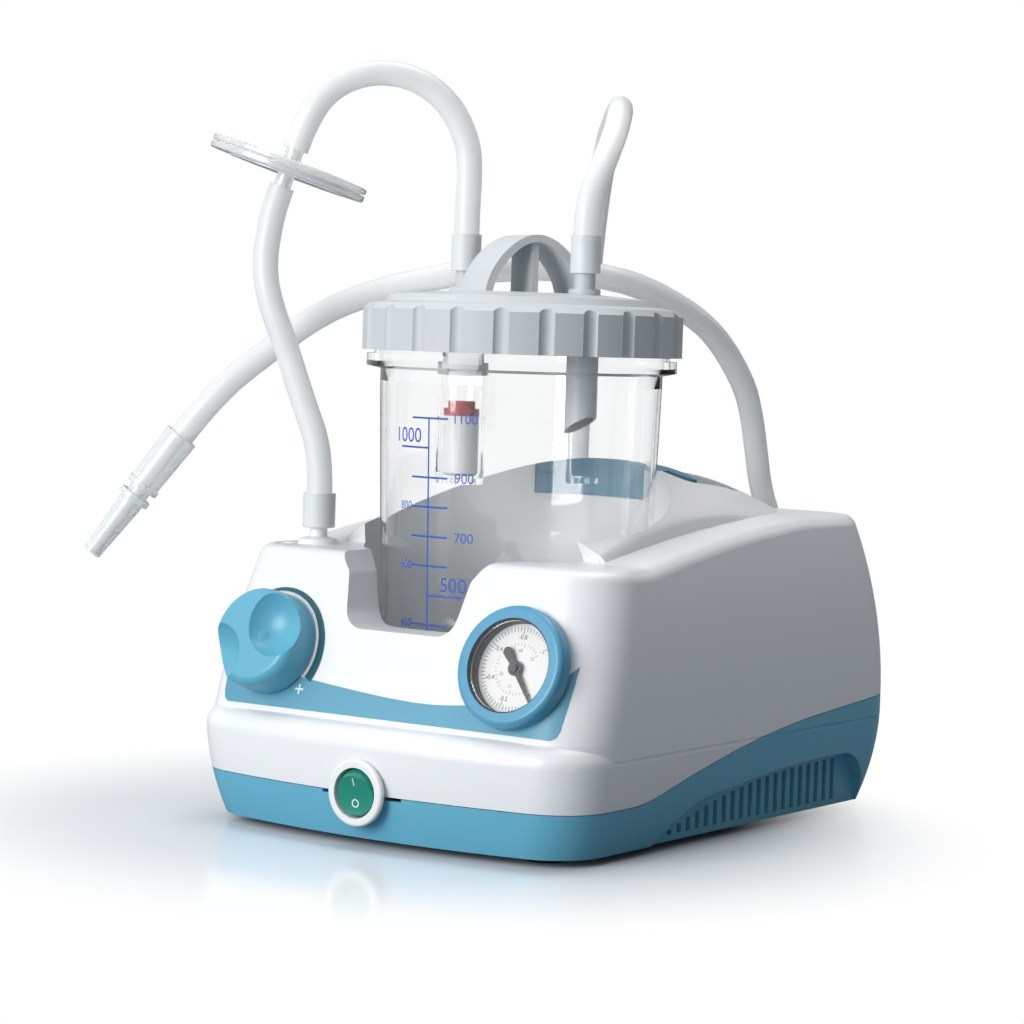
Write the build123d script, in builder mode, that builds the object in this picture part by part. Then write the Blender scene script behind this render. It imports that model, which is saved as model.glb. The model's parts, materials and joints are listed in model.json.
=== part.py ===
from build123d import *
from math import cos, pi, radians, sin, sqrt, tan
import os

os.makedirs("parts", exist_ok=True)

# Housing: origin at the middle of the footprint, on the standing surface, front towards -Y
width = 190.0
length = 260.0
wall = 2.8
front_bow = 11.0
corner_radius = 24.0
base_bottom = 3.0
belt_bottom = 40.0
belt_top = 46.5
belt_rounding = 8.0
top_rounding = 6.0
gap = 0.3

# Inclined front panel
panel_tilt = 16.9
panel_foot_y = -118.1
panel_foot_z = belt_top
panel_top_z = 110.5

# Top of the housing
shoulder_rear_z = 125.5
hood_top_z = 147.0
hood_top_y = 25.0
hood_half_width = 64.0
hood_arch_radius = 114.5
hood_ridge_radius = 269.0

# Parting line between base and upper housing
parting_front_z = 21.0

# Well for the jar
jar_y = -29.0
well_radius = 62.0
well_floor_z = 28.0


def plan_outline(side, front, rear, corner, bow):
    """Rounded plan of the housing, each side set in from the widest outline"""
    half = width / 2 - side
    front_y = -length / 2 + front
    rear_y = length / 2 - rear
    with BuildSketch() as outline:
        with BuildLine():
            if bow > 0:
                ThreePointArc((-half, front_y + bow), (0, front_y), (half, front_y + bow))
            else:
                Line((-half, front_y), (half, front_y))
            Polyline((half, front_y + bow), (half, rear_y), (-half, rear_y), (-half, front_y + bow))
        make_face()
        fillet(outline.vertices(), corner)
    return outline.sketch


def top_profile(drop):
    """Side view of the housing up to its shoulder line, lowered by drop"""
    foot_y = panel_foot_y - 20
    with BuildSketch() as profile:
        with BuildLine():
            start = Line((foot_y, 0), (foot_y, panel_top_z - drop))
            flat = Line(start @ 1, (-63, panel_top_z - drop))
            rise = ThreePointArc(flat @ 1, (-8, 119.2 - drop), (60, shoulder_rear_z - drop))
            Polyline(rise @ 1, (length, shoulder_rear_z - drop), (length, 0), start @ 0)
        make_face()
    return profile.sketch


def hood(inset):
    """Domed hood behind the jar: an arch swept round a long ridge radius"""
    axis_z = hood_top_z - hood_ridge_radius
    side = hood_half_width - inset
    crown = hood_top_z - inset
    radius = hood_arch_radius - inset
    spring = crown - radius + sqrt(radius**2 - side**2)
    with BuildPart() as dome:
        with BuildSketch(Plane.XZ.offset(-hood_top_y)) as arch:
            with BuildLine():
                ThreePointArc((-side, spring), (0, crown), (side, spring))
                Polyline((side, spring), (side, 80), (-side, 80), (-side, spring))
            make_face()
            fillet(arch.vertices().group_by(Axis.Y)[-1], 6 - inset)
        swing = Axis((0, hood_top_y, axis_z), (1, 0, 0))
        revolve(axis=swing, revolution_arc=20)
        add(dome.part.mirror(Plane.XZ.offset(-hood_top_y)))
    return dome.part


def housing_form(skin):
    """The closed outside of the housing, or its inside when skin is the wall taken off"""
    corner = corner_radius - skin
    with BuildPart() as form:
        for height, taper in ((base_bottom + skin, 6.5), (18, 2.6), (belt_bottom, 0)):
            with BuildSketch(Plane.XY.offset(height)):
                add(plan_outline(taper + skin, taper + skin, taper + skin, corner, front_bow))
        loft()
        with BuildSketch(Plane.XY.offset(belt_bottom)):
            add(plan_outline(skin, skin, skin, corner, front_bow))
        extrude(amount=belt_top - skin - belt_bottom)
        fillet(form.edges().group_by(Axis.Z)[-1], belt_rounding)
        slope = tan(radians(panel_tilt))
        foot = length / 2 + panel_foot_y + skin / cos(radians(panel_tilt))
        with BuildSketch(Plane.XY.offset(belt_bottom)):
            add(plan_outline(skin, foot, skin, corner, 0))
        extrude(amount=belt_top - belt_bottom)
        for height, lean in ((belt_top, 0), (72, 1.0), (98, 4.5), (128, 11.8)):
            with BuildSketch(Plane.XY.offset(height)):
                back = foot + (height - belt_top) * slope
                add(plan_outline(lean + skin, back, lean + skin, corner, 0))
        loft()
        with BuildSketch(Plane.YZ.offset(-width)):
            add(top_profile(skin))
        extrude(amount=2 * width, mode=Mode.INTERSECT)
        crest = [edge for edge in form.edges() if edge.center().Z > 100 and edge.geom_type != GeomType.LINE]
        fillet(crest, top_rounding - skin)
    return form.part


def below_parting(drop):
    """Block under the parting line, which climbs in an S from the front to the rear"""
    with BuildPart() as block:
        with BuildSketch(Plane.YZ.offset(-width)):
            with BuildLine():
                front = Line((-length, parting_front_z - drop), (-82, parting_front_z - drop))
                dip = TangentArc(front @ 1, (-60, 24.0 - drop), tangent=front % 1)
                climb = TangentArc(dip @ 1, (50, 44.3 - drop), tangent=dip % 1)
                rear = Line(climb @ 1, (length, 60.0 - drop))
                Polyline(rear @ 1, (length, -length), (-length, -length), front @ 0)
            make_face()
        extrude(amount=2 * width)
    return block.part


def finish(piece, name):
    """Name a finished piece and write it"""
    piece.label = name
    export_step(piece, f"parts/{name}.step")


# Planes that the pieces are set out from
panel = Plane(
    origin=(0, panel_foot_y, panel_foot_z),
    x_dir=(1, 0, 0),
    z_dir=(0, -cos(radians(panel_tilt)), sin(radians(panel_tilt))),
)


def on_panel(point, height=0.0):
    """Plane parallel to the front panel at a point on it, raised by height"""
    return Plane(origin=panel.from_local_coords((*point, height)), x_dir=panel.x_dir, z_dir=panel.z_dir)


knob_at = (-59.0, 27.0)
gauge_at = (59.0, 27.5)
switch_z = 21.5
switch_radius = 10.4
port_at = (-67.0, -74.0)
inlet_at = (-55.0, 86.0)
inlet_y = 124.0
screw_spots = [(-80, -94), (80, -94), (-80, 106), (80, 106)]
foot_spots = [(-66, -98), (66, -98), (-66, 100), (66, 100)]
front_plane = Plane(origin=(0, -length / 2, switch_z), x_dir=(1, 0, 0), z_dir=(0, -1, 0))

outer = housing_form(0)
inner = housing_form(wall)
dome = hood(0)
dome_inside = hood(wall)

with BuildPart() as envelope:
    add(outer)
    add(dome)

with BuildPart() as cavity:
    add(inner)
    add(dome_inside)

# Notch in the panel, open to the well
notch_bottom = 81.5
notch_half_width = 29.5
flare = 8.0


def notch_block(grow, front_y, rear_y):
    """Prism with the notch's U outline, grown by the thickness of its walls"""
    bottom = notch_bottom - grow
    half = notch_half_width + grow
    with BuildPart() as block:
        with BuildSketch(Plane.XZ.offset(-front_y)) as face:
            with BuildLine():
                Polyline(
                    (-half - flare, 160), (-half - flare, 113), (-half, 103), (-half + 4, bottom),
                    (half - 4, bottom), (half, 103), (half + flare, 113), (half + flare, 160), close=True,
                )
            make_face()
            fillet(face.vertices().group_by(Axis.Y)[0], 9 + grow)
            fillet(face.vertices().filter_by_position(Axis.Y, 100, 114), 5)
        extrude(amount=front_y - rear_y)
    return block.part


# Upper housing
with BuildPart() as upper_housing:
    add(envelope.part)
    add(cavity.part, mode=Mode.SUBTRACT)
    with BuildSketch(Plane.XY.offset(well_floor_z - wall)):
        with Locations((0, jar_y)):
            Circle(well_radius + wall)
    extrude(amount=hood_top_z)
    add(notch_block(wall, -122, jar_y))
    with BuildSketch(Plane.XZ.offset(-118)):
        with Locations((inlet_at[0], inlet_at[1])):
            Rectangle(60, 42)
    extrude(amount=-20)
    with BuildSketch(Plane.XY.offset(104 - wall)):
        with Locations((0, 58)):
            RectangleRounded(84 + 2 * wall, 48 + 2 * wall, 10)
    extrude(amount=80)
    add(envelope.part, mode=Mode.INTERSECT)
    for x, y in screw_spots:
        with BuildSketch(Plane.XY.offset(parting_front_z)):
            with Locations((x, y)):
                Circle(4.5)
            with Locations((x * 1.08, y)):
                Rectangle(14, 3)
        extrude(amount=45)
    add(envelope.part, mode=Mode.INTERSECT)
    with BuildSketch(Plane.XY.offset(well_floor_z)):
        with Locations((0, jar_y)):
            Circle(well_radius)
    extrude(amount=hood_top_z, mode=Mode.SUBTRACT)
    add(notch_block(0, -140, jar_y), mode=Mode.SUBTRACT)
    with BuildSketch(Plane.XY.offset(well_floor_z)):
        with Locations((0, jar_y)):
            Circle(57)
            Circle(54.5, mode=Mode.SUBTRACT)
    extrude(amount=4)
    # hand pocket behind the grip, and the seat that the grip fills
    with BuildSketch(Plane.XY.offset(104)):
        with Locations((0, 58)):
            RectangleRounded(84, 48, 8)
    extrude(amount=80, mode=Mode.SUBTRACT)
    with BuildSketch(Plane.XY.offset(130.8)):
        with Locations((0, 34)):
            Rectangle(58.6, 30)
    extrude(amount=80, mode=Mode.SUBTRACT)
    # openings for the controls, the hose port and the inlet
    for point, radius in ((knob_at, 5.2), (gauge_at, 19.8)):
        with BuildSketch(on_panel(point, 5)):
            Circle(radius)
        extrude(amount=-30, mode=Mode.SUBTRACT)
    with BuildSketch(Plane.XY.offset(90)):
        with Locations(port_at):
            Circle(4.2)
    extrude(amount=60, mode=Mode.SUBTRACT)
    with BuildSketch(Plane.XY.offset(108.5)):
        with Locations((-77, -84)):
            Circle(3.5)
    extrude(amount=60, mode=Mode.SUBTRACT)
    with BuildSketch(Plane.XZ.offset(-inlet_y)):
        with Locations(inlet_at):
            RectangleRounded(52, 34, 2)
    extrude(amount=-20, mode=Mode.SUBTRACT)
    with BuildSketch(Plane.XZ.offset(-100)):
        with Locations(inlet_at):
            Rectangle(30, 24)
        with Locations((40, 72)):
            with GridLocations(7, 1, 9, 1):
                SlotCenterToCenter(24, 3, rotation=90)
    extrude(amount=-40, mode=Mode.SUBTRACT)
    add(below_parting(0), mode=Mode.SUBTRACT)
    for x, y in screw_spots:
        with BuildSketch(Plane.XY):
            with Locations((x, y)):
                Circle(1.5)
        extrude(amount=60, mode=Mode.SUBTRACT)
    with BuildSketch(front_plane.offset(-30)):
        Circle(switch_radius + 0.4)
    extrude(amount=40, mode=Mode.SUBTRACT)
finish(upper_housing.part, "upper_housing")

# Base housing
with BuildPart() as base_housing:
    add(outer)
    add(below_parting(gap), mode=Mode.INTERSECT)
    add(inner, mode=Mode.SUBTRACT)
    for side in (-1, 1):
        with BuildSketch(Plane.XY.offset(base_bottom)):
            with Locations((side * 88, 24)):
                Rectangle(8.6, 176)
        extrude(amount=27)
    add(outer, mode=Mode.INTERSECT)
    add(below_parting(gap), mode=Mode.INTERSECT)
    for x, y in screw_spots:
        with BuildSketch(Plane.XY.offset(base_bottom)):
            with Locations((x, y)):
                Circle(5.5)
        extrude(amount=(parting_front_z if y < 0 else 47) - base_bottom - gap)
    add(outer, mode=Mode.INTERSECT)
    for side in (-1, 1):
        with BuildSketch(Plane.YZ.offset(side * 86.6)):
            with BuildLine():
                lead = ThreePointArc((-62, 0), (-44, 12.5), (-10, 20.5))
                crest = ThreePointArc(lead @ 1, (40, 25.3), (86, 26))
                tail = ThreePointArc(crest @ 1, (100, 19), (107, 0))
                Line(tail @ 1, lead @ 0)
            make_face()
        extrude(amount=side * 12, mode=Mode.SUBTRACT)
    for step in range(20):
        y = -44 + 6.8 * step
        top = 26 - 15.5 * ((86 - y) / 130) ** 2.4 - 3.2
        with BuildSketch(Plane.YZ.offset(-width)):
            with BuildLine():
                Polyline((y, 5.5), (y + 3.2, 5.5), (y + 3.2, top), (y, top), close=True)
            make_face()
        extrude(amount=2 * width, mode=Mode.SUBTRACT)
    for x, y in screw_spots:
        with BuildSketch(Plane.XY):
            with Locations((x, y)):
                Circle(4.2)
        extrude(amount=9, mode=Mode.SUBTRACT)
        with BuildSketch(Plane.XY):
            with Locations((x, y)):
                Circle(2.1)
        extrude(amount=60, mode=Mode.SUBTRACT)
    with BuildSketch(Plane.XY):
        with Locations(*foot_spots):
            Circle(3.1)
    extrude(amount=10, mode=Mode.SUBTRACT)
    with BuildSketch(front_plane.offset(-30)):
        Circle(switch_radius + 0.4)
        with Locations((0, parting_front_z - gap - switch_z)):
            Rectangle(38, 2.4)
    extrude(amount=40, mode=Mode.SUBTRACT)
finish(base_housing.part, "base_housing")

# Feet and housing screws
with BuildPart() as rubber_feet:
    with BuildSketch(Plane.XY):
        with Locations(*foot_spots):
            Circle(9)
    extrude(amount=base_bottom)
    chamfer(rubber_feet.edges().group_by(Axis.Z)[0], 1)
    with BuildSketch(Plane.XY.offset(base_bottom)):
        with Locations(*foot_spots):
            Circle(3)
    extrude(amount=wall + 1)
finish(rubber_feet.part, "rubber_feet")

with BuildPart() as housing_screws:
    for x, y in screw_spots:
        with BuildSketch(Plane.XY.offset(6)):
            with Locations((x, y)):
                Circle(3.8)
        extrude(amount=3)
        with BuildSketch(Plane.XY.offset(9)):
            with Locations((x, y)):
                Circle(1.45)
        extrude(amount=46)
finish(housing_screws.part, "housing_screws")

# Grip bridging the hand pocket, flush with the dome and with the wall of the well
with BuildPart() as carry_handle:
    with BuildSketch(Plane.XY.offset(131)):
        with Locations((0, 35)):
            Rectangle(58, 26)
        with Locations((0, 46)):
            Ellipse(39, 9)
        with Locations((0, jar_y)):
            Circle(well_radius, mode=Mode.SUBTRACT)
    extrude(amount=20)
    add(dome, mode=Mode.INTERSECT)
finish(carry_handle.part, "carry_handle")

# Suction control: knob and spindle turn in a needle valve behind the panel
knob_radius = 20.5
knob_height = 15.0
with BuildPart() as suction_knob:
    with BuildSketch(on_panel(knob_at, 0.8)):
        Circle(knob_radius)
    extrude(amount=knob_height - 0.8, taper=3)
    fillet(suction_knob.faces().sort_by(Axis.Y)[0].edges(), 4)
    for right, rise, height, radius in ((11, 6, 8.5, 16), (-17, -9, 9.5, 16)):
        scoop = on_panel((knob_at[0] + right, knob_at[1] + rise), knob_height + height)
        with Locations(Location(scoop)):
            Sphere(radius, mode=Mode.SUBTRACT)
    with BuildSketch(on_panel(knob_at, 0)):
        Circle(knob_radius - 2.5)
        Circle(6, mode=Mode.SUBTRACT)
    extrude(amount=4, mode=Mode.SUBTRACT)
    with BuildSketch(on_panel(knob_at, 0)):
        Circle(7.6)
    extrude(amount=4, mode=Mode.SUBTRACT)
    with BuildSketch(on_panel(knob_at, 0)):
        Circle(3)
    extrude(amount=11, mode=Mode.SUBTRACT)
finish(suction_knob.part, "suction_knob")

with BuildPart() as valve_spindle:
    with BuildSketch(on_panel(knob_at, -24)):
        Circle(0.4)
    with BuildSketch(on_panel(knob_at, -17)):
        Circle(2.4)
    loft()
    with BuildSketch(on_panel(knob_at, -17)):
        Circle(2.4)
    extrude(amount=13)
    with BuildSketch(on_panel(knob_at, -4)):
        Circle(2.98)
    extrude(amount=15)
finish(valve_spindle.part, "valve_spindle")

with BuildPart() as regulator_body:
    with BuildSketch(on_panel(knob_at, -30)):
        Circle(11)
    extrude(amount=30 - wall - 0.1)
    with BuildSketch(on_panel(knob_at, -wall - 0.1)):
        Circle(5)
    extrude(amount=wall + 3)
    with Locations(Location(on_panel(knob_at, -24))):
        with Locations((0, -9, 0)):
            Cylinder(2.6, 14, rotation=(90, 0, 0), align=(Align.CENTER, Align.CENTER, Align.MIN))
    with BuildSketch(on_panel(knob_at, -26)):
        Circle(3.05)
    extrude(amount=40, mode=Mode.SUBTRACT)
finish(regulator_body.part, "regulator_body")

with BuildPart() as regulator_nut:
    with BuildSketch(on_panel(knob_at, 0.1)):
        RegularPolygon(6.8, 6)
        Circle(5.05, mode=Mode.SUBTRACT)
    extrude(amount=2.2)
finish(regulator_nut.part, "regulator_nut")

# Vacuum gauge: bezel, case, dial, Bourdon tube, movement, pointer and window
bezel_radius = 23.5
window_radius = 18.3
dial_radius = 17.6


def gauge_disc(radius, low, high):
    """Disc on the gauge axis between two heights above the panel"""
    with BuildPart() as disc:
        with BuildSketch(on_panel(gauge_at, low)):
            Circle(radius)
        extrude(amount=high - low)
    return disc.part


with BuildPart() as gauge_bezel:
    add(gauge_disc(bezel_radius, 0.05, 7))
    fillet(gauge_bezel.faces().sort_by(Axis.Y)[0].edges(), 2.2)
    add(gauge_disc(window_radius, -1, 8), mode=Mode.SUBTRACT)
    add(gauge_disc(window_radius + 1.2, -1, 3.2), mode=Mode.SUBTRACT)
finish(gauge_bezel.part, "gauge_bezel")

with BuildPart() as gauge_case:
    add(gauge_disc(window_radius + 1.1, -24, 3.1))
    add(gauge_disc(window_radius - 0.05, 3, 6.3))
    add(gauge_disc(dial_radius + 0.05, -22.5, 7), mode=Mode.SUBTRACT)
    add(gauge_disc(4.05, -30, 0), mode=Mode.SUBTRACT)
finish(gauge_case.part, "gauge_case")

with BuildPart() as gauge_dial:
    add(gauge_disc(dial_radius, -0.8, 0))
    add(gauge_disc(1.5, -2, 1), mode=Mode.SUBTRACT)
finish(gauge_dial.part, "gauge_dial")

with BuildPart() as gauge_window:
    add(gauge_disc(dial_radius, 4.4, 5.6))
finish(gauge_window.part, "gauge_window")

pointer_plane = on_panel(gauge_at, 1.4)
with BuildPart() as gauge_pointer:
    with BuildSketch(pointer_plane) as hand:
        with BuildLine():
            Polyline((-1.0, 0), (-0.35, 15.2), (0.35, 15.2), (1.0, 0), close=True)
        make_face()
        with BuildLine():
            Polyline((-0.8, 0), (-1.9, -7.5), (1.9, -7.5), (0.8, 0), close=True)
        make_face()
        Circle(2.9)
        with Locations((0, -7.5)):
            Circle(1.9)
    extrude(amount=0.8)
    add(gauge_disc(1.5, 1.4, 3.2))
    add(gauge_disc(0.8, -9, 2))
pointer_rest = 217.0
gauge_axis = Axis(pointer_plane.origin, panel.z_dir)
finish(gauge_pointer.part.rotate(gauge_axis, pointer_rest), "gauge_pointer")

with BuildPart() as bourdon_tube:
    coil_plane = on_panel(gauge_at, -15)
    with BuildLine(coil_plane) as bend:
        CenterArc((0, 0), 12.5, -60, 250)
    with BuildSketch(Plane(origin=bend.line @ 0, z_dir=bend.line % 0)):
        Ellipse(2.6, 1.3)
    sweep()
finish(bourdon_tube.part, "bourdon_tube")

with BuildPart() as gauge_movement:
    with BuildSketch(on_panel(gauge_at, -10.5)):
        Rectangle(12, 9)
        Circle(0.9, mode=Mode.SUBTRACT)
    extrude(amount=1.2)
    with BuildSketch(on_panel(gauge_at, -4.5)):
        Rectangle(12, 9)
        Circle(0.9, mode=Mode.SUBTRACT)
    extrude(amount=1.2)
    with BuildSketch(on_panel(gauge_at, -22.4)):
        with Locations((-5.4, 0), (5.4, 0)):
            Circle(1.2)
    extrude(amount=18)
finish(gauge_movement.part, "gauge_movement")

with BuildPart() as gauge_socket:
    add(gauge_disc(4, -24, -20))
    with BuildSketch(on_panel(gauge_at, -30)):
        RegularPolygon(6.5, 6)
    extrude(amount=5.9)
    with Locations(Location(on_panel(gauge_at, -27))):
        with Locations((0, -4, 0)):
            Cylinder(2.6, 12, rotation=(90, 0, 0), align=(Align.CENTER, Align.CENTER, Align.MIN))
finish(gauge_socket.part, "gauge_socket")

# Mains switch: white collar across the parting line, round rocker, body and terminals
with BuildPart() as switch_collar:
    with BuildSketch(front_plane.offset(0.05)):
        Circle(13)
    extrude(amount=2.0)
    fillet(switch_collar.faces().sort_by(Axis.Y)[0].edges(), 1.2)
    with BuildSketch(front_plane.offset(-18)):
        Circle(switch_radius)
    extrude(amount=18.1)
    with BuildSketch(front_plane.offset(-30)):
        Circle(9.75)
    extrude(amount=40, mode=Mode.SUBTRACT)
finish(switch_collar.part, "switch_collar")

rocker_plane = front_plane.offset(-3.2)
with BuildPart() as switch_rocker:
    with Locations(Location(rocker_plane)):
        Sphere(9.6)
    with BuildSketch(rocker_plane.offset(-5)):
        Circle(12)
    extrude(amount=10.6, mode=Mode.INTERSECT)
    with Locations(Location(rocker_plane.offset(29.5))):
        Cylinder(25, 40, rotation=(0, 90, 0), mode=Mode.SUBTRACT)
rocker_rest = 9.0
rocker_axis = Axis(rocker_plane.origin, (1, 0, 0))
finish(switch_rocker.part.rotate(rocker_axis, rocker_rest), "switch_rocker")

with BuildPart() as switch_body:
    with BuildSketch(front_plane.offset(-31)):
        Circle(9.7)
    extrude(amount=17)
    with BuildSketch(front_plane.offset(-39)):
        with GridLocations(8, 6, 2, 2):
            Rectangle(4.8, 0.8)
    extrude(amount=8)
finish(switch_body.part, "switch_body")

# Hose port on the left shoulder
port_z = panel_top_z
with BuildPart() as hose_port:
    with BuildSketch(Plane.XZ.offset(-port_at[1])):
        with BuildLine():
            Polyline(
                (port_at[0], 92), (port_at[0] + 2.6, 92), (port_at[0] + 3.3, 96), (port_at[0] + 2.6, 96),
                (port_at[0] + 2.6, port_z - 6), (port_at[0] + 4.1, port_z - 6), (port_at[0] + 4.1, port_z),
                (port_at[0] + 8.5, port_z), (port_at[0] + 7.5, port_z + 2), (port_at[0] + 3.6, port_z + 3),
                (port_at[0] + 3.6, port_z + 19), (port_at[0], port_z + 19), close=True,
            )
        make_face()
    revolve(axis=Axis((*port_at, 0), (0, 0, 1)))
    with BuildSketch(Plane.XY.offset(80)):
        with Locations(port_at):
            Circle(1.7)
    extrude(amount=80, mode=Mode.SUBTRACT)
finish(hose_port.part, "hose_port")

# Mains inlet at the rear with its fuse drawer
rear_face = Plane(origin=(inlet_at[0], inlet_y, inlet_at[1]), x_dir=(-1, 0, 0), z_dir=(0, 1, 0))
with BuildPart() as mains_inlet:
    with BuildSketch(rear_face.offset(0.05)):
        RectangleRounded(50, 32, 2)
    extrude(amount=2.5)
    with BuildSketch(rear_face.offset(0.05)):
        Rectangle(29.4, 23.4)
    extrude(amount=-24)
    with BuildSketch(rear_face.offset(3)):
        with Locations((0, 3)):
            Rectangle(24, 16)
    extrude(amount=-17, mode=Mode.SUBTRACT)
    with BuildSketch(rear_face.offset(3)):
        with Locations((0, -8.6)):
            Rectangle(24, 4.6)
    extrude(amount=-22, mode=Mode.SUBTRACT)
    with BuildSketch(rear_face.offset(3)):
        with Locations((-20.5, 0), (20.5, 0)):
            Circle(1.7)
    extrude(amount=-10, mode=Mode.SUBTRACT)
    with BuildSketch(rear_face.offset(-5)):
        with Locations((-7, 2), (7, 2), (0, 6)):
            Rectangle(2, 4)
    extrude(amount=-10)
    with BuildSketch(rear_face.offset(-23)):
        with Locations((-7, 2), (7, 2), (0, 6)):
            Rectangle(0.8, 4)
    extrude(amount=-9)
finish(mains_inlet.part, "mains_inlet")

with BuildPart() as fuse_drawer:
    with BuildSketch(rear_face.offset(2.6)):
        with Locations((0, -8.6)):
            Rectangle(23.8, 4.4)
    extrude(amount=-18)
    with BuildSketch(rear_face.offset(2.6)):
        with Locations((0, -8.6)):
            Rectangle(26, 5.2)
    extrude(amount=1.4)
finish(fuse_drawer.part, "fuse_drawer")

with BuildPart() as inlet_screws:
    with BuildSketch(rear_face.offset(2.55)):
        with Locations((-20.5, 0), (20.5, 0)):
            Circle(2.9)
    extrude(amount=1.5)
    with BuildSketch(rear_face.offset(2.55)):
        with Locations((-20.5, 0), (20.5, 0)):
            Circle(1.65)
    extrude(amount=-2.5)
finish(inlet_screws.part, "inlet_screws")

# Pump set on its chassis: motor across the housing, cylinder upright at the right
motor_y = 84.0
motor_z = 46.0
chassis_z = 12.0
floor_z = base_bottom + wall


def across(left, plan_y=motor_y, plan_z=motor_z):
    """Plane facing +X on the motor axis, at the left end of a piece"""
    return Plane(origin=(left, plan_y, plan_z), x_dir=(0, 1, 0), z_dir=(1, 0, 0))


def shaft_disc(radius, left, right):
    """Disc or journal on the motor axis between two places along X"""
    with BuildPart() as disc:
        with BuildSketch(across(left)):
            Circle(radius)
        extrude(amount=right - left)
    return disc.part


mount_spots = [(-57.5, 62), (-57.5, 106), (57.5, 62), (57.5, 106)]
with BuildPart() as pump_chassis:
    with BuildSketch(Plane.XY.offset(chassis_z)):
        with Locations((0, motor_y)):
            RectangleRounded(128, 60, 6)
        with Locations(*mount_spots):
            Circle(3.1, mode=Mode.SUBTRACT)
    extrude(amount=2)
finish(pump_chassis.part, "pump_chassis")

with BuildPart() as rubber_mounts:
    with BuildSketch(Plane.XY.offset(floor_z)):
        with Locations(*mount_spots):
            Circle(6)
    extrude(amount=chassis_z - floor_z)
    with BuildSketch(Plane.XY.offset(chassis_z)):
        with Locations(*mount_spots):
            Circle(3)
    extrude(amount=4.5)
    with BuildSketch(Plane.XY.offset(chassis_z + 2)):
        with Locations(*mount_spots):
            Circle(4.6)
    extrude(amount=2)
finish(rubber_mounts.part, "rubber_mounts")

with BuildPart() as motor_stator:
    with BuildSketch(across(-36)):
        with Locations((0, 0)):
            RectangleRounded(60, 64, 8)
        Circle(19.4, mode=Mode.SUBTRACT)
        with PolarLocations(22, 4, 45):
            SlotCenterToCenter(9, 7, mode=Mode.SUBTRACT)
    extrude(amount=40)
finish(motor_stator.part, "motor_stator")

with BuildPart() as motor_windings:
    for left in (-45, 4.1):
        with BuildSketch(across(left)):
            Circle(28)
            Circle(20.5, mode=Mode.SUBTRACT)
        extrude(amount=8.9)
finish(motor_windings.part, "motor_windings")

with BuildPart() as motor_brackets:
    for left, thickness in ((-50, 4), (13.2, 4)):
        with BuildSketch(across(left)):
            RectangleRounded(54, 52, 8)
            Circle(6.05, mode=Mode.SUBTRACT)
            with PolarLocations(17, 4, 0):
                SlotCenterToCenter(8, 7, rotation=90, mode=Mode.SUBTRACT)
        extrude(amount=thickness)
    with BuildSketch(Plane.XY.offset(chassis_z + 2)):
        with Locations((-48, motor_y), (15.2, motor_y)):
            Rectangle(4, 40)
    extrude(amount=6)
finish(motor_brackets.part, "motor_brackets")

with BuildPart() as motor_bearings:
    for left in (-50, 13.2):
        add(shaft_disc(6, left, left + 4))
        add(shaft_disc(3.02, left - 1, left + 5), mode=Mode.SUBTRACT)
finish(motor_bearings.part, "motor_bearings")

crank_throw = 4.0
crank_left = 27.0
with BuildPart() as motor_rotor:
    add(shaft_disc(3, -72, crank_left + 4))
    add(shaft_disc(18.8, -35, 3))
    add(shaft_disc(12, crank_left, crank_left + 4))
    with BuildSketch(across(crank_left + 4)):
        with Locations((0, -crank_throw)):
            Circle(3.5)
    extrude(amount=10)
finish(motor_rotor.part, "motor_rotor")

blade_count = 7
with BuildPart() as cooling_fan:
    add(shaft_disc(8, -70, -56))
    for blade in range(blade_count):
        turn = 360 / blade_count * blade
        tip = Plane(origin=(-63, motor_y, motor_z), x_dir=(1, 0, 0), z_dir=(0, cos(radians(turn)), sin(radians(turn))))
        with BuildSketch(tip.offset(6)):
            Rectangle(1.4, 9, rotation=-38)
        with BuildSketch(tip.offset(24)):
            Rectangle(1.2, 17, rotation=-58)
        loft()
    add(shaft_disc(3.02, -80, -40), mode=Mode.SUBTRACT)
finish(cooling_fan.part, "cooling_fan")

with BuildPart() as crankcase:
    with BuildSketch(across(21)):
        RectangleRounded(50, 46, 6)
    extrude(amount=30)
    add(shaft_disc(16.5, 24, 48), mode=Mode.SUBTRACT)
    add(shaft_disc(4, 18, 30), mode=Mode.SUBTRACT)
    with BuildSketch(Plane.XY.offset(motor_z)):
        with Locations((36, motor_y)):
            Circle(11)
    extrude(amount=40, mode=Mode.SUBTRACT)
    with BuildSketch(Plane.XY.offset(chassis_z + 2)):
        with Locations((36, motor_y)):
            Rectangle(30, 44)
    extrude(amount=motor_z - 23 - chassis_z - 2)
finish(crankcase.part, "crankcase")

with BuildPart() as crankcase_cover:
    with BuildSketch(across(51)):
        RectangleRounded(50, 46, 6)
        with GridLocations(40, 36, 2, 2):
            Circle(1.7, mode=Mode.SUBTRACT)
    extrude(amount=2.5)
finish(crankcase_cover.part, "crankcase_cover")

cylinder_foot = motor_z + 23.0
cylinder_x = 36.0
with BuildPart() as pump_cylinder:
    with BuildSketch(Plane.XY.offset(cylinder_foot)):
        with Locations((cylinder_x, motor_y)):
            Rectangle(36, 38)
    extrude(amount=2)
    with BuildSketch(Plane.XY.offset(cylinder_foot)):
        with Locations((cylinder_x, motor_y)):
            Circle(13)
    extrude(amount=15)
    for fin in range(3):
        with BuildSketch(Plane.XY.offset(cylinder_foot + 4.5 + 3.4 * fin)):
            with Locations((cylinder_x, motor_y)):
                Circle(17)
        extrude(amount=1.4)
    with BuildSketch(Plane.XY.offset(cylinder_foot)):
        with Locations((cylinder_x, motor_y)):
            Circle(10.5)
    extrude(amount=20, mode=Mode.SUBTRACT)
finish(pump_cylinder.part, "pump_cylinder")

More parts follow.
